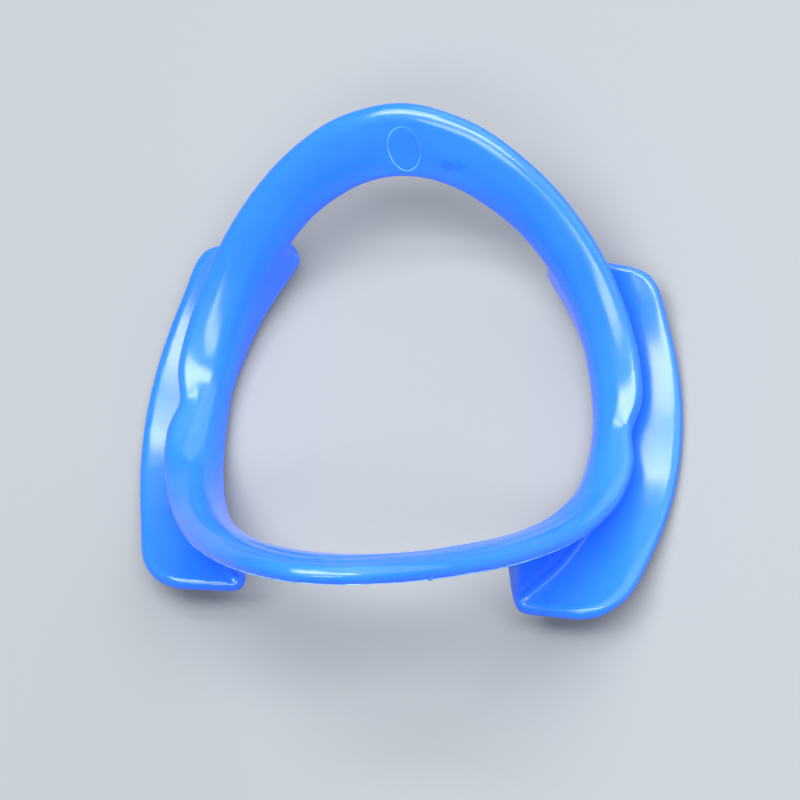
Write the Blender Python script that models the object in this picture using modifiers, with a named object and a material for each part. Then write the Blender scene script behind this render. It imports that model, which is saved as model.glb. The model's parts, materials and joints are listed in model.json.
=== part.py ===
# Mouth opener: one moulded piece that holds the lips and cheeks off the teeth.
# It lies on its two cheek wings, front side up.
# X runs from cheek to cheek, Y towards the top of the mouth, Z up out of the mouth.
import math

import bmesh
import bpy
from mathutils import Vector

mm = 0.001

# Front rim, seen from the front
rimHalfWidth = 30.6 * mm
rimHalfHeight = 32.3 * mm
# Heights of the front rim above the table
rimSideHeight = 5.2 * mm
rimTopRise = 18.0 * mm
rimBottomRise = 33.2 * mm

# Band of the ring: how far its inner edge, the waist, lies inside the rim and behind it
waistInsetSide = 6.4 * mm
waistInsetTop = 7.5 * mm
waistInsetBottom = 4.8 * mm
bandDepthSide = 3.9 * mm
bandDepthTop = 6.3 * mm
bandDepthBottom = 7.3 * mm

# Rolled lip of the rim: how far it runs in from the edge before the band bends back
lipAtTop = 3.4 * mm
lipAtBottom = 2.8 * mm
lipAtSide = 5.2 * mm
lipFallAtCentre = 0.4 * mm
lipFallAtSide = 0.3 * mm
# How tightly the band bends under the lip: 1 is an even curve, more is a flatter lip and a tighter bend
bendAtCentre = 1.0
bendAtSide = 1.9

# Plastic thickness
beadThickness = 2.4 * mm
bandThickness = 1.8 * mm
waistThickness = 1.5 * mm

# Notch for the corner of the mouth in the rim on each side
notchDepth = 1.3 * mm
notchDip = 0.5 * mm
notchHeight = -3.2 * mm
notchHalfLength = 2.3 * mm
lowerLipStep = 0.7 * mm

# Cheek wings, placed from the rim
wingOverhang = 4.6 * mm
wingTopInset = 14.4 * mm
wingTopSlant = 0.9 * mm
wingBottomInset = 5.5 * mm
wingUpperRadius = 45.0 * mm
wingLowerRadius = 42.0 * mm
wingWidestAt = -5.2 * mm
wingTopCorner = 4.6 * mm
wingBottomCorner = 6.6 * mm
wingInnerCorner = 0.6 * mm
wingThickness = 1.8 * mm
wingRise = 5.2 * mm
wingLowestAt = -3.0 * mm
wingCornerLift = 1.0 * mm
wallLean = 0.24
# The wall ends this far under the middle of the band, between these shares of its width
wallSink = 0.5 * mm
wallJoinFirst = 0.3
wallJoinLast = 0.8

# Round mark of an ejector pin on the inner face of the top band
pinDiameter = 4.1 * mm
pinDepth = 0.14 * mm
pinInset = 5.3 * mm
pinPlugLength = 4.0 * mm

halfStations = 56
endPoints = 3
wingRows = 18
wingColumns = 6
# Places across the band from the waist to the rim; the bead starts between the last but one pair
bandShares = (0.0, 0.2, 0.4, 0.58, 0.74, 0.83, 1.0)
beadStart = 0.74
beadFull = 0.83

wingHalfSpan = rimHalfWidth + wingOverhang
wingTop = rimHalfHeight - wingTopInset
wingBottom = wingBottomInset - rimHalfHeight

# Outlines as shares of half width and half height, from the top centre to the bottom centre
rimOutline = (
    (0.000, 1.000), (0.193, 0.972), (0.376, 0.910), (0.598, 0.769), (0.773, 0.587),
    (0.895, 0.381), (0.977, 0.146), (1.000, -0.093), (0.984, -0.316), (0.935, -0.461),
    (0.827, -0.619), (0.655, -0.774), (0.430, -0.902), (0.212, -0.975), (0.000, -1.000),
)
waistOutline = (
    (0.000, 1.000), (0.165, 0.985), (0.347, 0.931), (0.570, 0.816), (0.764, 0.631),
    (0.888, 0.423), (0.963, 0.174), (1.000, -0.063), (0.983, -0.293), (0.942, -0.449),
    (0.864, -0.602), (0.711, -0.763), (0.463, -0.904), (0.227, -0.977), (0.000, -1.000),
)
# Foot of the wall that joins wing and ring, as shares of the waist half width and of its own length
wallOutline = (
    (0.678, 1.007), (0.744, 0.959), (0.833, 0.887), (0.917, 0.800), (0.996, 0.667),
    (1.041, 0.533), (1.037, 0.395), (1.000, 0.280), (0.934, 0.191), (0.839, 0.101),
    (0.694, 0.000),
)


def clearScene():
    for item in list(bpy.data.objects):
        bpy.data.objects.remove(item)
    for mesh in list(bpy.data.meshes):
        bpy.data.meshes.remove(mesh)


def spline(points, before, after, count):
    # Smooth curve through the points, with even steps between them
    guide = [before] + list(points) + [after]
    last = len(points) - 1
    result = []
    for step in range(count + 1):
        place = last * step / count
        index = min(int(place), last - 1)
        share = place - index
        p0, p1, p2, p3 = guide[index:index + 4]
        value = []
        for a, b, c, d in zip(p0, p1, p2, p3):
            slopeB = (c - a) / 2
            slopeC = (d - b) / 2
            square = share * share
            cube = square * share
            value.append(
                (2 * cube - 3 * square + 1) * b + (cube - 2 * square + share) * slopeB
                + (3 * square - 2 * cube) * c + (cube - square) * slopeC
            )
        result.append(value)
    return result


def halfOutline(points, count):
    # The ghost points beyond both ends are the mirrored neighbours
    before = (-points[1][0], points[1][1])
    after = (-points[-2][0], points[-2][1])
    return spline(points, before, after, count)


def blend(a, b, share):
    return a + (b - a) * share


def ease(share):
    share = max(0.0, min(1.0, share))
    return share * share * (3 - 2 * share)


def archRise(share, top, bottom):
    # The ring arches forward between its sides, further at the bottom than at the top
    bow = max(0.0, math.cos(math.pi / 2 * min(1.0, share[0])))
    if share[1] > 0:
        return top * bow ** 0.9
    return bottom * bow


def rimPoint(share):
    x = share[0] * rimHalfWidth
    y = share[1] * rimHalfHeight
    z = rimSideHeight + archRise(share, rimTopRise, rimBottomRise)
    below = ease((notchHeight - y) / notchHalfLength * 0.25 + 0.5)
    z += lowerLipStep * below * ease((share[0] - 0.8) / 0.15)
    return Vector((x, y, z))


def notchAt(point):
    # How far the edge of the rim draws in and dips at the corner of the mouth
    away = (point.y - notchHeight) / notchHalfLength
    amount = math.exp(-away * away)
    if point.x < rimHalfWidth / 2:
        amount = 0
    return Vector((-notchDepth * amount, 0, -notchDip * amount))


def waistPoint(share):
    halfWidth = rimHalfWidth - waistInsetSide
    high = rimHalfHeight - waistInsetTop
    low = waistInsetBottom - rimHalfHeight
    x = share[0] * halfWidth
    y = blend(low, high, (1 + share[1]) / 2)
    topRise = rimTopRise - bandDepthTop + bandDepthSide
    bottomRise = rimBottomRise - bandDepthBottom + bandDepthSide
    z = rimSideHeight - bandDepthSide + archRise(share, topRise, bottomRise)
    return Vector((x, y, z))


def bandLines():
    # Rear end, bend and front end of the middle line of the band at every station,
    # how tight the bend is, and how crisply the bead of the rim stands out from the band there
    rims = halfOutline(rimOutline, halfStations)
    waists = halfOutline(waistOutline, halfStations)
    lines = []
    for rimShare, waistShare in zip(rims, waists):
        front = rimPoint(rimShare)
        rear = waistPoint(waistShare)
        inward = Vector((rear.x - front.x, rear.y - front.y, 0)).normalized()
        side = ease(rimShare[0])
        centreLip = lipAtTop if rimShare[1] > 0 else lipAtBottom
        lip = blend(centreLip, lipAtSide, side)
        fall = blend(lipFallAtCentre, lipFallAtSide, side)
        bend = front + inward * lip - Vector((0, 0, fall))
        front = front + notchAt(front)
        front = front + (bend - front).normalized() * beadThickness / 2
        rear = rear + (bend - rear).normalized() * waistThickness / 2
        tight = blend(bendAtCentre, bendAtSide, ease((rimShare[0] - 0.8) / 0.2))
        crisp = 0.35
        if rimShare[1] < 0:
            crisp = blend(1.0, 0.25, ease(rimShare[0] / 0.7))
        lines.append((rear, bend, front, tight, crisp))
    return lines


def onBand(line, share):
    rear, bend, front, tight, crisp = line
    pulls = (1 - share) ** 2, 2 * tight * share * (1 - share), share ** 2
    return (rear * pulls[0] + bend * pulls[1] + front * pulls[2]) / sum(pulls)


def bandSlope(line, share):
    step = 0.01
    return (onBand(line, min(1, share + step)) - onBand(line, max(0, share - step))).normalized()


def thicknessAt(line, share):
    if share < 0.5:
        return blend(waistThickness, bandThickness, ease(share * 2))
    soft = blend(bandThickness, beadThickness, ease(share * 2 - 1))
    step = blend(bandThickness, beadThickness, ease((share - beadStart) / (beadFull - beadStart)))
    return blend(soft, step, line[4])


def bandSection(lines, index, share):
    # Middle point, direction across the band and direction out of its open face
    line = lines[index]
    point = onBand(line, share)
    across = bandSlope(line, share)
    if index == 0 or index == len(lines) - 1:
        along = Vector((1, 0, 0)) if index == 0 else Vector((-1, 0, 0))
    else:
        ahead = lines[min(index + 2, len(lines) - 1)]
        behind = lines[max(index - 2, 0)]
        along = (onBand(ahead, share) - onBand(behind, share)).normalized()
    out = along.cross(across).normalized()
    if out.z < 0:
        out = -out
    return point, across, out


def sectionLoop(lines, index):
    loop = []
    line = lines[index]
    for share in bandShares:
        point, across, out = bandSection(lines, index, share)
        loop.append(point + out * thicknessAt(line, share) / 2)
    point, across, out = bandSection(lines, index, 1.0)
    for step in range(1, endPoints + 1):
        angle = math.pi * step / (endPoints + 1)
        loop.append(point + (out * math.cos(angle) + across * math.sin(angle)) * beadThickness / 2)
    for share in reversed(bandShares):
        point, across, out = bandSection(lines, index, share)
        loop.append(point - out * thicknessAt(line, share) / 2)
    point, across, out = bandSection(lines, index, 0.0)
    for step in range(1, endPoints + 1):
        angle = math.pi * step / (endPoints + 1)
        loop.append(point - (out * math.cos(angle) + across * math.sin(angle)) * waistThickness / 2)
    return loop


def makeObject(name, bm, group):
    mesh = bpy.data.meshes.new(name)
    bm.to_mesh(mesh)
    bm.free()
    mesh.shade_smooth()
    mesh.set_sharp_from_angle(angle=math.radians(40))
    item = bpy.data.objects.new(name, mesh)
    group.objects.link(item)
    return item


def makeBand(lines, group):
    # Loft through the half ring; every station has a section of its own
    bm = bmesh.new()
    loops = []
    for index in range(len(lines)):
        row = []
        for point in sectionLoop(lines, index):
            if index == 0 or index == len(lines) - 1:
                point.x = 0
            row.append(bm.verts.new(point))
        loops.append(row)
    for first, second in zip(loops, loops[1:]):
        for step in range(len(first)):
            after = (step + 1) % len(first)
            bm.faces.new((first[step], first[after], second[after], second[step]))
    bmesh.ops.recalc_face_normals(bm, faces=bm.faces[:])
    band = makeObject("mouth_opener", bm, group)
    mirror = band.modifiers.new("other side", "MIRROR")
    mirror.use_axis = (True, False, False)
    mirror.merge_threshold = 0.00005
    return band


def wingHeight(y, outward):
    # Front face of the plate: it dips in the middle like a shallow rocker and its lower outer corner curls up
    reach = max(wingTop - wingLowestAt, wingLowestAt - wingBottom)
    away = (y - wingLowestAt) / reach
    height = wingThickness + wingRise * abs(away) ** 2.5
    if away < 0:
        height += wingCornerLift * outward * away ** 2
    return height


def wingEdge(y):
    # Outer edge of the wing: one wide arc with a rounded corner at each end
    def arc(at):
        away = at - wingWidestAt
        radius = wingUpperRadius if away > 0 else wingLowerRadius
        return wingHalfSpan - radius + math.sqrt(radius ** 2 - away ** 2)
    if y > wingTop - wingTopCorner:
        corner = wingTop - wingTopCorner
        rest = max(0.0, wingTopCorner ** 2 - (y - corner) ** 2)
        return arc(corner) - wingTopCorner + math.sqrt(rest)
    if y < wingBottom + wingBottomCorner:
        corner = wingBottom + wingBottomCorner
        rest = max(0.0, wingBottomCorner ** 2 - (y - corner) ** 2)
        return arc(corner) - wingBottomCorner + math.sqrt(rest)
    return arc(y)


def bandAbove(lines, x, y):
    # Point on the middle of the band that lies nearest above a point of the table
    best = None
    for line in lines:
        for step in range(9):
            point = onBand(line, blend(wallJoinFirst, wallJoinLast, step / 8))
            away = (point.x - x) ** 2 + (point.y - y) ** 2
            if best is None or away < best[0]:
                best = (away, point)
    return best[1]


def wingRow(bm, root, y, wall):
    # One row of the sheet: down the wall, then out along the plate
    outer = Vector((wingEdge(y), y))
    row = list(wall)
    for column in range(wingColumns + 1):
        outward = column / wingColumns
        place = root.lerp(outer, outward)
        row.append(Vector((place.x, place.y, wingHeight(place.y, outward))))
    return [bm.verts.new(point) for point in row]


def makeWings(lines, group):
    wallTop = wingTop - wingInnerCorner
    wallBottom = wingBottom + wingInnerCorner
    ends = wallOutline[0], wallOutline[-1]
    before = [2 * a - b for a, b in zip(ends[0], wallOutline[1])]
    after = [2 * a - b for a, b in zip(ends[1], wallOutline[-2])]
    feet = spline(wallOutline, before, after, wingRows)
    bm = bmesh.new()
    rows = []
    for index, share in enumerate(feet):
        turn = math.pi * index / wingRows
        y = blend(wallBottom, wallTop, (1 + math.cos(turn)) / 2)
        x = share[0] * (rimHalfWidth - waistInsetSide) + wingThickness / 2
        root = Vector((x, blend(wallBottom, wallTop, share[1])))
        lean = wallLean * ease(index / wingRows * 2 - 1)
        foot = Vector((root.x, root.y, wingHeight(root.y, 0)))
        top = foot
        for step in range(4):
            top = bandAbove(lines, root.x - wingThickness / 2 + lean * (top.z - foot.z), root.y)
        top = Vector((top.x + wingThickness / 2, top.y, max(top.z - wallSink, foot.z + wallSink)))
        rows.append(wingRow(bm, root, y, (top, foot.lerp(top, 0.55), foot.lerp(top, 0.2))))
    # Beyond both ends of the wall the plate runs on to its rounded inner corners; the upper one is drawn out
    for end, y, slant in ((rows[0], wingTop, wingTopSlant), (rows[-1], wingBottom, 0)):
        corner = end[3].co
        rows.append(wingRow(bm, Vector((corner.x + wingInnerCorner / 2, y + slant)), y, ()))
    strips = list(zip(rows, rows[1:-2]))
    strips.append((rows[-2], rows[0][3:]))
    strips.append((rows[-3][3:], rows[-1]))
    for first, second in strips:
        for step in range(len(first) - 1):
            bm.faces.new((first[step], first[step + 1], second[step + 1], second[step]))
    wings = makeObject("wings", bm, group)
    solid = wings.modifiers.new("plastic", "SOLIDIFY")
    solid.thickness = wingThickness
    solid.offset = 1
    solid.use_even_offset = True
    smooth = wings.modifiers.new("rounded edges", "SUBSURF")
    smooth.levels = 1
    smooth.render_levels = 1
    mirror = wings.modifiers.new("other side", "MIRROR")
    mirror.use_axis = (True, False, False)
    mirror.merge_threshold = 0.00005
    return wings


def makePinMark(lines, group):
    # A thin oval plug square to the band; seen from the front it is round
    share = 1.0
    crest = onBand(lines[0], 1.0).y + beadThickness / 2
    while share > 0.05 and crest - onBand(lines[0], share).y < pinInset:
        share -= 0.01
    point, across, out = bandSection(lines, 0, share)
    surface = point + out * thicknessAt(lines[0], share) / 2
    bm = bmesh.new()
    bmesh.ops.create_cone(
        bm, cap_ends=True, segments=40, radius1=pinDiameter / 2, radius2=pinDiameter / 2, depth=pinPlugLength,
    )
    stretch = 1 / max(0.3, abs(across.y))
    for vert in bm.verts:
        x, y, z = vert.co
        vert.co = surface + Vector((x, 0, 0)) + across * y * stretch + out * (z + pinPlugLength / 2 - pinDepth)
    return makeObject("pin mark cutter", bm, group)


def shellMaterial(name):
    material = bpy.data.materials.new(name)
    material.use_nodes = True
    shader = material.node_tree.nodes["Principled BSDF"]
    shader.inputs["Base Color"].default_value = (0.05, 0.26, 0.90, 1)
    shader.inputs["Roughness"].default_value = 0.3
    return material


def build():
    clearScene()
    group = bpy.data.collections.new("mouth opener")
    cutters = bpy.data.collections.new("cutters")
    bpy.context.scene.collection.children.link(group)
    bpy.context.scene.collection.children.link(cutters)
    lines = bandLines()
    band = makeBand(lines, group)
    wings = makeWings(lines, cutters)
    mark = makePinMark(lines, cutters)
    for item in (wings, mark):
        item.hide_render = True
        item.display_type = "WIRE"
    join = band.modifiers.new("wings", "BOOLEAN")
    join.operation = "UNION"
    join.solver = "EXACT"
    join.object = wings
    cut = band.modifiers.new("pin mark", "BOOLEAN")
    cut.operation = "DIFFERENCE"
    cut.solver = "EXACT"
    cut.object = mark
    band.data.materials.append(shellMaterial("blue plastic"))


build()
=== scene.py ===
import json
import math

import bmesh
import bpy
from mathutils import Matrix, Vector, noise
from mathutils.bvhtree import BVHTree
from mathutils.kdtree import KDTree

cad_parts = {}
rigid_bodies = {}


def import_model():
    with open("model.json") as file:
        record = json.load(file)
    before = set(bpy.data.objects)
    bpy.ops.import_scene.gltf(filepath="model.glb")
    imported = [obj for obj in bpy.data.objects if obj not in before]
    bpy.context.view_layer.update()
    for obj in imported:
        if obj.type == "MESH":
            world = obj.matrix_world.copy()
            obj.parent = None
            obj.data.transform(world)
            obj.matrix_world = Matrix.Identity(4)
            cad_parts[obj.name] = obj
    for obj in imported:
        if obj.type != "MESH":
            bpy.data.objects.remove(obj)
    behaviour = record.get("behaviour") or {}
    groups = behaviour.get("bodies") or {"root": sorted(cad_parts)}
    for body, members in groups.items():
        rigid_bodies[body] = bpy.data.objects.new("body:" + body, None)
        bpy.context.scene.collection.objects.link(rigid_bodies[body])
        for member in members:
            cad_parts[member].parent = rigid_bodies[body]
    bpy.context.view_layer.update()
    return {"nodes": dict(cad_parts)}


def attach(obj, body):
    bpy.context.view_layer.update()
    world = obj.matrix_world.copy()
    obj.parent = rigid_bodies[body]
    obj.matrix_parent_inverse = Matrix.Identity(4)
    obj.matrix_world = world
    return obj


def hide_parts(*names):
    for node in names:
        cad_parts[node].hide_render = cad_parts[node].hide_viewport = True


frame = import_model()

mm = 0.001
root = bpy.context.scene.collection


def addObject(name, bm):
    mesh = bpy.data.meshes.new(name)
    bm.to_mesh(mesh)
    bm.free()
    piece = bpy.data.objects.new(name, mesh)
    root.objects.link(piece)
    return piece


def applyModifiers(piece):
    # Bakes the modifiers of a piece into its mesh
    graph = bpy.context.evaluated_depsgraph_get()
    mesh = bpy.data.meshes.new_from_object(piece.evaluated_get(graph))
    piece.modifiers.clear()
    piece.data = mesh


# The dyed plastic of the body. Each scale is a noise's, and each range is what of it shows
plastic = {
    "body": (0.018, 0.150, 1.0, 1),
    "thin": (0.028, 0.190, 1.0, 1),
    "cloudScale": 90,
    "cloudRange": (0.35, 0.7),
    "cloudMost": 0.5,
    "streak": (0.011, 0.112, 0.95, 1),
    "streakPlace": Vector((5.9, 25.4, 19.6)) * mm,
    "streakSize": Vector((2.5, 0.8, 1.1)) * mm,
    "streakCore": 0.2,
    "streakScale": 700,
    "streakRange": (0.30, 0.55),
    "streakRoughness": 0.08,
    "roughness": 0.15,
    "haze": 0.07,
    "hazeScale": 420,
    "hazeRange": (0.3, 0.75),
    "scratch": 0.06,
    "scratchRange": (0.66, 0.74),
    # Turn and stretch of the noise for each direction of the scratches
    "scratches": (
        ((0.2, 0.1, 0.7), (300, 6000, 6000)),
        ((0.1, 0.3, -0.5), (350, 5200, 5200)),
    ),
    "bump": 0.05,
    "bumpDepth": 0.2 * mm,
    "bumpScale": 260,
    "scatter": 0.22,
    "scatterColour": (0.25, 0.6, 1.0),
    "scatterReach": 2.2 * mm,
    "ior": 1.5,
}


def newMaterial(name):
    material = bpy.data.materials.new(name)
    material.use_nodes = True
    return material, material.node_tree.nodes, material.node_tree.links


def noiseNode(nodes, links, coords, scale, detail):
    cloud = nodes.new("ShaderNodeTexNoise")
    cloud.inputs["Scale"].default_value = scale
    cloud.inputs["Detail"].default_value = detail
    links.new(coords, cloud.inputs["Vector"])
    return cloud.outputs["Fac"]


def stretchNode(nodes, links, coords, turn, scale):
    mapping = nodes.new("ShaderNodeMapping")
    mapping.inputs["Rotation"].default_value = turn
    mapping.inputs["Scale"].default_value = scale
    links.new(coords, mapping.inputs["Vector"])
    return mapping.outputs["Vector"]


def rangeNode(nodes, links, value, low, high, toLow, toHigh):
    node = nodes.new("ShaderNodeMapRange")
    node.inputs["From Min"].default_value = low
    node.inputs["From Max"].default_value = high
    node.inputs["To Min"].default_value = toLow
    node.inputs["To Max"].default_value = toHigh
    links.new(value, node.inputs["Value"])
    return node.outputs["Result"]


def mathNode(nodes, links, operation, first, second):
    node = nodes.new("ShaderNodeMath")
    node.operation = operation
    for socket, value in zip(node.inputs, (first, second)):
        if isinstance(value, (int, float)):
            socket.default_value = value
        else:
            links.new(value, socket)
    return node.outputs["Value"]


def mixNode(nodes, links, factor, first, second):
    mix = nodes.new("ShaderNodeMix")
    mix.data_type = "RGBA"
    links.new(factor, mix.inputs["Factor"])
    for name, value in (("A", first), ("B", second)):
        if isinstance(value, tuple):
            mix.inputs[name].default_value = value
        else:
            links.new(value, mix.inputs[name])
    return mix.outputs["Result"]


def patchNode(nodes, links, coords, place, size, core):
    # 1 in the core of a place on the surface, fading to 0 at the given size
    mapping = nodes.new("ShaderNodeMapping")
    mapping.vector_type = "TEXTURE"
    mapping.inputs["Location"].default_value = place
    mapping.inputs["Scale"].default_value = size
    links.new(coords, mapping.inputs["Vector"])
    length = nodes.new("ShaderNodeVectorMath")
    length.operation = "LENGTH"
    links.new(mapping.outputs["Vector"], length.inputs[0])
    return rangeNode(nodes, links, length.outputs["Value"], core, 1.0, 1.0, 0.0)


def setScatter(shader, weight, reach):
    # Both plastics let the same light through
    shader.inputs["Subsurface Weight"].default_value = weight
    shader.inputs["Subsurface Radius"].default_value = plastic["scatterColour"]
    shader.inputs["Subsurface Scale"].default_value = reach
    shader.inputs["IOR"].default_value = plastic["ior"]


def makePlastic():
    material, nodes, links = newMaterial("blue plastic")
    shader = nodes["Principled BSDF"]
    place = nodes.new("ShaderNodeTexCoord").outputs["Object"]
    # Flow clouds in the dyed plastic and one darker streak beside the pin mark
    cloud = noiseNode(nodes, links, place, plastic["cloudScale"], 3)
    cloud = rangeNode(nodes, links, cloud, *plastic["cloudRange"], 0.0, plastic["cloudMost"])
    colour = mixNode(nodes, links, cloud, plastic["body"], plastic["thin"])
    patch = patchNode(
        nodes, links, place, plastic["streakPlace"], plastic["streakSize"], plastic["streakCore"],
    )
    broken = noiseNode(nodes, links, place, plastic["streakScale"], 3)
    broken = rangeNode(nodes, links, broken, *plastic["streakRange"], 0.0, 1.0)
    streak = mathNode(nodes, links, "MULTIPLY", patch, broken)
    colour = mixNode(nodes, links, streak, colour, plastic["streak"])
    links.new(colour, shader.inputs["Base Color"])
    # Gloss: moulding haze, fine handling scratches along two directions, and the streak
    low = plastic["roughness"]
    rough = noiseNode(nodes, links, place, plastic["hazeScale"], 4)
    rough = rangeNode(nodes, links, rough, *plastic["hazeRange"], low, low + plastic["haze"])
    for turn, scale in plastic["scratches"]:
        lines = noiseNode(nodes, links, stretchNode(nodes, links, place, turn, scale), 1.0, 2)
        lines = rangeNode(nodes, links, lines, *plastic["scratchRange"], 0.0, plastic["scratch"])
        rough = mathNode(nodes, links, "ADD", rough, lines)
    duller = mathNode(nodes, links, "MULTIPLY", streak, plastic["streakRoughness"])
    rough = mathNode(nodes, links, "ADD", rough, duller)
    links.new(rough, shader.inputs["Roughness"])
    setScatter(shader, plastic["scatter"], plastic["scatterReach"])
    bump = nodes.new("ShaderNodeBump")
    bump.inputs["Strength"].default_value = plastic["bump"]
    bump.inputs["Distance"].default_value = plastic["bumpDepth"]
    links.new(noiseNode(nodes, links, place, plastic["bumpScale"], 3), bump.inputs["Height"])
    links.new(bump.outputs["Normal"], shader.inputs["Normal"])
    return material


# Plastic squeezed to a thin edge: paler than the body, and uneven along its length
feather = {
    "pale": (0.26, 0.62, 1.0, 1),
    "deep": (0.06, 0.30, 1.0, 1),
    "unevenScale": 800,
    "unevenRange": (0.35, 0.65),
    "roughness": 0.28,
    "scatter": 0.35,
    "scatterReach": 0.55 * mm,
}


def makeFeather():
    material, nodes, links = newMaterial("feathered edge")
    shader = nodes["Principled BSDF"]
    place = nodes.new("ShaderNodeTexCoord").outputs["Object"]
    uneven = noiseNode(nodes, links, place, feather["unevenScale"], 3)
    uneven = rangeNode(nodes, links, uneven, *feather["unevenRange"], 0.0, 1.0)
    colour = mixNode(nodes, links, uneven, feather["deep"], feather["pale"])
    links.new(colour, shader.inputs["Base Color"])
    shader.inputs["Roughness"].default_value = feather["roughness"]
    setScatter(shader, feather["scatter"], feather["scatterReach"])
    return material


body = {
    "merge": 0.001 * mm,
    # Triangles become quads up to these angles, in degrees
    "flatAngle": 60,
    "cornerAngle": 100,
    "rounding": 2,
    "voxel": 0.31 * mm,
    # The skin is softened and then firmed up by this many rounds of smoothing each
    "relax": 6,
    "soften": 0.5,
    "firmUp": -0.52,
    "sinkDepth": 0.030 * mm,
    "sinkReach": 7.0 * mm,
    # Rough places left by the gate on the inside of the lower band: place, reach and height in mm
    "scarsAbove": 33 * mm,
    "gateScars": (
        (Vector((0.6, -28.6, 36.7)), 0.45, 0.12),
        (Vector((2.0, -28.5, 36.5)), 0.35, -0.11),
        (Vector((3.3, -28.5, 36.7)), 0.45, 0.13),
        (Vector((5.1, -28.4, 36.1)), 0.35, 0.11),
        (Vector((6.4, -28.3, 35.9)), 0.35, -0.10),
        (Vector((7.9, -28.1, 35.3)), 0.42, 0.12),
    ),
}

# The outer line of the lower rim, in degrees round the middle of the ring
rim = {
    "middle": Vector((0, -3)) * mm,
    "lowest": 8.5 * mm,
    "from": 202,
    "to": 345,
    "smoothing": 6,
}

# The crease that follows the rim line inside the bead: a groove, and a step down behind it
crease = {
    "from": 234,
    "to": 342,
    "fade": 14,
    "lowest": 5 * mm,
    "facingUp": 0.1,
    "reach": 2.45 * mm,
    "widening": 0.65 * mm,
    "widenFrom": 304,
    "widenOver": 20,
    "width": 0.28 * mm,
    "depth": 0.17 * mm,
    "step": 0.18 * mm,
    "stepEnds": 8,  # in groove widths, and the step fades out over the last two
}


def ridePiece(piece, material):
    piece.data.shade_smooth()
    piece.data.materials.clear()
    piece.data.materials.append(material)
    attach(piece, "root")
    return piece


def rimLine(mesh):
    # The outermost point of the rim at every degree round its middle
    outermost = {}
    for vert in mesh.vertices:
        if vert.co.z < rim["lowest"]:
            continue
        away = vert.co.xy - rim["middle"]
        slot = round(math.degrees(math.atan2(away.y, away.x)) % 360)
        if slot not in outermost or away.length > outermost[slot][0]:
            outermost[slot] = (away.length, vert.co.copy())
    slots = [slot for slot in sorted(outermost) if rim["from"] <= slot <= rim["to"]]
    points = [outermost[slot][1] for slot in slots]
    for step in range(rim["smoothing"]):
        middles = [(a + b * 2 + c) / 4 for a, b, c in zip(points, points[1:], points[2:])]
        points = [points[0]] + middles + [points[-1]]
    return slots, points


def easeIn(value):
    value = min(1, max(0, value))
    return value * value * (3 - 2 * value)


def creaseDepth(slot, away):
    # How deep the crease is at a degree of the rim line and a distance from it
    widening = crease["widening"] * easeIn((slot - crease["widenFrom"]) / crease["widenOver"])
    side = (away - (crease["reach"] + widening)) / crease["width"]
    groove = crease["depth"] * math.exp(-side * side)
    step = crease["step"] * easeIn(side) * easeIn((crease["stepEnds"] - side) / 2)
    start = easeIn((slot - crease["from"]) / crease["fade"])
    end = easeIn((crease["to"] - slot) / crease["fade"])
    return start * end * (groove + step)


def weather(mesh):
    # Slight sinks of the cooling plastic, the crease inside the lower bead, and the gate's scars
    outward = [vert.normal.copy() for vert in mesh.vertices]
    slots, points = rimLine(mesh)
    line = KDTree(len(points))
    for index, point in enumerate(points):
        line.insert(point, index)
    line.balance()
    for vert, normal in zip(mesh.vertices, outward):
        push = body["sinkDepth"] * noise.noise(vert.co / body["sinkReach"])
        below = vert.co.y < 0 and vert.co.z > crease["lowest"]
        if below and normal.z > crease["facingUp"]:
            index, away = line.find(vert.co)[1:]
            push -= creaseDepth(slots[index], away)
        if vert.co.z > body["scarsAbove"]:
            for spot, reach, height in body["gateScars"]:
                share = (vert.co / mm - spot).length / reach
                push += height * mm * math.exp(-share * share)
        vert.co = vert.co + normal * push


def dropSpecks(mesh):
    # The remesh can leave a speck inside the solid: only the largest island stays
    bm = bmesh.new()
    bm.from_mesh(mesh)
    waiting = set(bm.verts)
    islands = []
    while waiting:
        front = [waiting.pop()]
        island = list(front)
        while front:
            vert = front.pop()
            for edge in vert.link_edges:
                other = edge.other_vert(vert)
                if other in waiting:
                    waiting.remove(other)
                    front.append(other)
                    island.append(other)
        islands.append(island)
    islands.sort(key=len)
    for island in islands[:-1]:
        bmesh.ops.delete(bm, geom=island, context="VERTS")
    bm.to_mesh(mesh)
    bm.free()


def makeBody(material):
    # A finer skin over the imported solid: smooth, with soft fillets between wall, wing and ring
    bm = bmesh.new()
    bm.from_mesh(frame["nodes"]["mouth_opener"].data)
    bmesh.ops.remove_doubles(bm, verts=bm.verts[:], dist=body["merge"])
    bmesh.ops.join_triangles(
        bm,
        faces=bm.faces[:],
        angle_face_threshold=math.radians(body["flatAngle"]),
        angle_shape_threshold=math.radians(body["cornerAngle"]),
    )
    piece = addObject("opener_body", bm)
    curve = piece.modifiers.new("round", "SUBSURF")
    curve.levels = body["rounding"]
    curve.render_levels = body["rounding"]
    skin = piece.modifiers.new("skin", "REMESH")
    skin.mode = "VOXEL"
    skin.voxel_size = body["voxel"]
    for name, factor in (("soften", body["soften"]), ("firm up", body["firmUp"])):
        relax = piece.modifiers.new(name, "SMOOTH")
        relax.factor = factor
        relax.iterations = body["relax"]
    applyModifiers(piece)
    dropSpecks(piece.data)
    weather(piece.data)
    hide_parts("mouth_opener")
    return ridePiece(piece, material)


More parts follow.
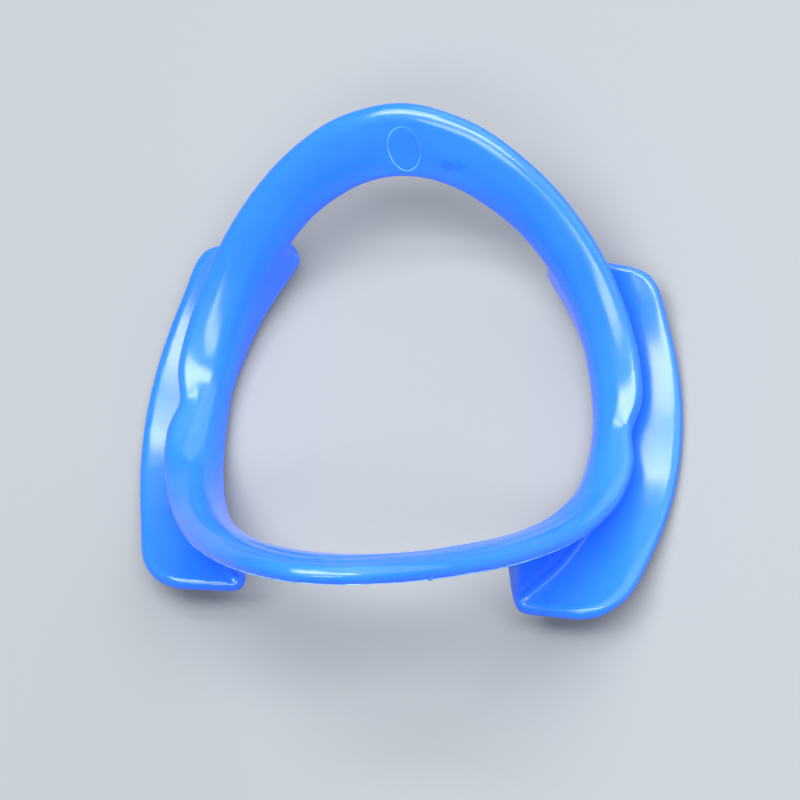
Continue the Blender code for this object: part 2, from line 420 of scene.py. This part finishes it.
def sweepThread(name, points, widths, closed=False):
    # A thin eight-sided thread of plastic through the points
    bm = bmesh.new()
    loops = []
    count = len(points)
    for index, point in enumerate(points):
        ahead = points[(index + 1) % count] if closed else points[min(index + 1, count - 1)]
        behind = points[index - 1] if closed else points[max(index - 1, 0)]
        turn = (ahead - behind).to_track_quat("Z", "Y").to_matrix().to_4x4()
        made = bmesh.ops.create_circle(
            bm,
            cap_ends=not closed and index in (0, count - 1),
            segments=8,
            radius=widths[index] / 2,
            matrix=Matrix.Translation(point) @ turn,
        )
        loops.append({edge for vert in made["verts"] for edge in vert.link_edges})
    pairs = list(zip(loops, loops[1:]))
    if closed:
        pairs.append((loops[-1], loops[0]))
    for first, second in pairs:
        bmesh.ops.bridge_loops(bm, edges=list(first | second))
    bmesh.ops.recalc_face_normals(bm, faces=bm.faces[:])
    return addObject(name, bm)


# The thread of flash, in degrees of the rim line. Its width wanders round the usual share
flash = {
    "from": 205,
    "to": 335,
    "width": 0.16 * mm,
    "proud": 0.02 * mm,
    "usual": 0.8,
    "wander": 0.5,
    "wanderReach": 1.5 * mm,
    "thinnest": 0.15,
    "taper": 6,  # tapers over one part in this many at each end
}


def makeFlash(piece, material):
    # The mould parts along the outermost line of the rim and leaves a thread of flash there
    points = []
    for slot, point in zip(*rimLine(piece.data)):
        if flash["from"] <= slot <= flash["to"]:
            away = (point.xy - rim["middle"]).normalized()
            points.append(point + Vector((away.x, away.y, 0)) * flash["proud"])
    last = len(points) - 1
    widths = []
    for index, point in enumerate(points):
        fade = min(1, flash["taper"] * index / last, flash["taper"] * (last - index) / last)
        share = flash["usual"] + flash["wander"] * noise.noise(point / flash["wanderReach"])
        widths.append(flash["width"] * max(flash["thinnest"], fade * share))
    return ridePiece(sweepThread("opener_flash", points, widths), material)


# The edge of the pin mark is thicker towards one side, given in degrees
pinMark = {
    "middle": Vector((0, 27.0)) * mm,
    "above": 60 * mm,
    "radius": 2.05 * mm,
    "width": 0.105 * mm,
    "usual": 0.66,
    "swell": 0.36,
    "swellAt": 225,
    "segments": 72,
}


def makePinRing(tree, material):
    # The ejector pin leaves a fine round edge on the inner face of the top band
    points = []
    widths = []
    for index in range(pinMark["segments"]):
        angle = 2 * math.pi * index / pinMark["segments"]
        x = pinMark["middle"].x + pinMark["radius"] * math.cos(angle)
        y = pinMark["middle"].y + pinMark["radius"] * math.sin(angle)
        hit = tree.ray_cast(Vector((x, y, pinMark["above"])), Vector((0, 0, -1)))
        points.append(hit[0])
        swell = pinMark["swell"] * math.cos(angle - math.radians(pinMark["swellAt"]))
        widths.append(pinMark["width"] * (pinMark["usual"] + swell))
    return ridePiece(sweepThread("opener_pin_ring", points, widths, closed=True), material)


burr = {
    "place": Vector((12.9, -29.2, 31.4)) * mm,
    "size": 0.30 * mm,
    "shape": (1.3, 0.7, 0.8, 1),
    "rough": 0.35,
    "grain": 0.25 * mm,
}


def makeBurr(tree, material):
    # One small burr on the flash
    spot, normal = tree.find_nearest(burr["place"])[:2]
    turn = normal.to_track_quat("Z", "Y").to_matrix().to_4x4()
    bm = bmesh.new()
    shape = Matrix.Translation(spot) @ turn @ Matrix.Diagonal(burr["shape"])
    bmesh.ops.create_icosphere(bm, subdivisions=3, radius=burr["size"], matrix=shape)
    for vert in bm.verts:
        vert.co += (vert.co - spot) * burr["rough"] * noise.noise(vert.co / burr["grain"])
    return ridePiece(addObject("opener_burr", bm), material)


studio = {
    "middle": Vector((0, 4.8, 6.7)) * mm,
    "turn": math.radians(14.5),
    "pitch": math.radians(15.1),
    "roll": math.radians(3.5),
    "distance": 500 * mm,
    "lens": 178.9,
    "sensor": 36,
    "farthest": 20,
    "aimRight": -1.0 * mm,
    "aimUp": -6.0 * mm,
    "floor": (0.225, 0.238, 0.255, 1),
    "floorRoughness": 0.7,
    "floorHalf": 3,
    "sky": (0.80, 0.90, 1.0, 1),
    "skyStrength": 0.27,
    # Name, place, aim, width, height and power. A dim panel over everything, two narrow boxes for
    # the highlights on the wings and notches, a strip in front for the lower bead, and a panel at
    # the back that lifts the lower left lip
    "softboxes": (
        ("ceiling panel", (0.06, 0.14, 0.75), (0.06, 0.14, 0), 1.1, 1.1, 2.2),
        ("near softbox", (0.06, 0.026, 0.58), (0.06, 0.026, 0), 0.76, 0.17, 5.4),
        ("far softbox", (-0.12, 0.198, 0.58), (-0.12, 0.198, 0), 0.40, 0.07, 1.4),
        ("front softbox", (0.06, -0.265, 0.515), (0, 0, 0.02), 0.34, 0.13, 1.2),
        ("back panel", (0.44, 0.55, 0.44), (0, 0, 0.02), 1.4, 0.7, 5.0),
    ),
}


def makeCamera():
    # The opener lies on its wings, so the camera looks down on it
    turn, pitch, roll = studio["turn"], studio["pitch"], studio["roll"]
    across = Vector((
        math.cos(turn),
        math.sin(turn) * math.sin(pitch),
        -math.sin(turn) * math.cos(pitch),
    ))
    rise = Vector((0, math.cos(pitch), math.sin(pitch)))
    back = across.cross(rise).normalized()
    right = across * math.cos(roll) + rise * math.sin(roll)
    up = rise * math.cos(roll) - across * math.sin(roll)
    spot = studio["middle"] + back * studio["distance"]
    aim = studio["middle"] + right * studio["aimRight"] + up * studio["aimUp"]
    data = bpy.data.cameras.new("camera")
    data.lens = studio["lens"]
    data.sensor_width = studio["sensor"]
    data.clip_end = studio["farthest"]
    camera = bpy.data.objects.new("camera", data)
    root.objects.link(camera)
    axisZ = (spot - aim).normalized()
    axisX = up.cross(axisZ).normalized()
    axisY = axisZ.cross(axisX)
    for row in range(3):
        camera.matrix_world[row][0] = axisX[row]
        camera.matrix_world[row][1] = axisY[row]
        camera.matrix_world[row][2] = axisZ[row]
        camera.matrix_world[row][3] = spot[row]
    bpy.context.scene.camera = camera


def addSoftbox(name, place, aim, wide, high, power):
    data = bpy.data.lights.new(name, "AREA")
    data.shape = "RECTANGLE"
    data.size = wide
    data.size_y = high
    data.energy = power
    light = bpy.data.objects.new(name, data)
    light.location = place
    light.rotation_euler = (Vector(aim) - Vector(place)).to_track_quat("-Z", "Y").to_euler()
    root.objects.link(light)


def makeStudio():
    bm = bmesh.new()
    bmesh.ops.create_grid(bm, x_segments=1, y_segments=1, size=studio["floorHalf"])
    floor = addObject("floor", bm)
    material, nodes = newMaterial("studio floor")[:2]
    shader = nodes["Principled BSDF"]
    shader.inputs["Base Color"].default_value = studio["floor"]
    shader.inputs["Roughness"].default_value = studio["floorRoughness"]
    floor.data.materials.append(material)
    world = bpy.data.worlds.new("studio")
    world.use_nodes = True
    background = world.node_tree.nodes["Background"]
    background.inputs["Color"].default_value = studio["sky"]
    background.inputs["Strength"].default_value = studio["skyStrength"]
    bpy.context.scene.world = world
    for softbox in studio["softboxes"]:
        addSoftbox(*softbox)
    bpy.context.scene.view_settings.view_transform = "Standard"


makeStudio()
makeCamera()
print("studio ready")
bodyPlastic = makePlastic()
opener = makeBody(bodyPlastic)
print("body:", len(opener.data.polygons), "faces")
skinTree = BVHTree.FromPolygons(
    [vert.co for vert in opener.data.vertices],
    [face.vertices for face in opener.data.polygons],
)
thinPlastic = makeFeather()
makeFlash(opener, thinPlastic)
makePinRing(skinTree, thinPlastic)
makeBurr(skinTree, bodyPlastic)
print("moulding marks made")
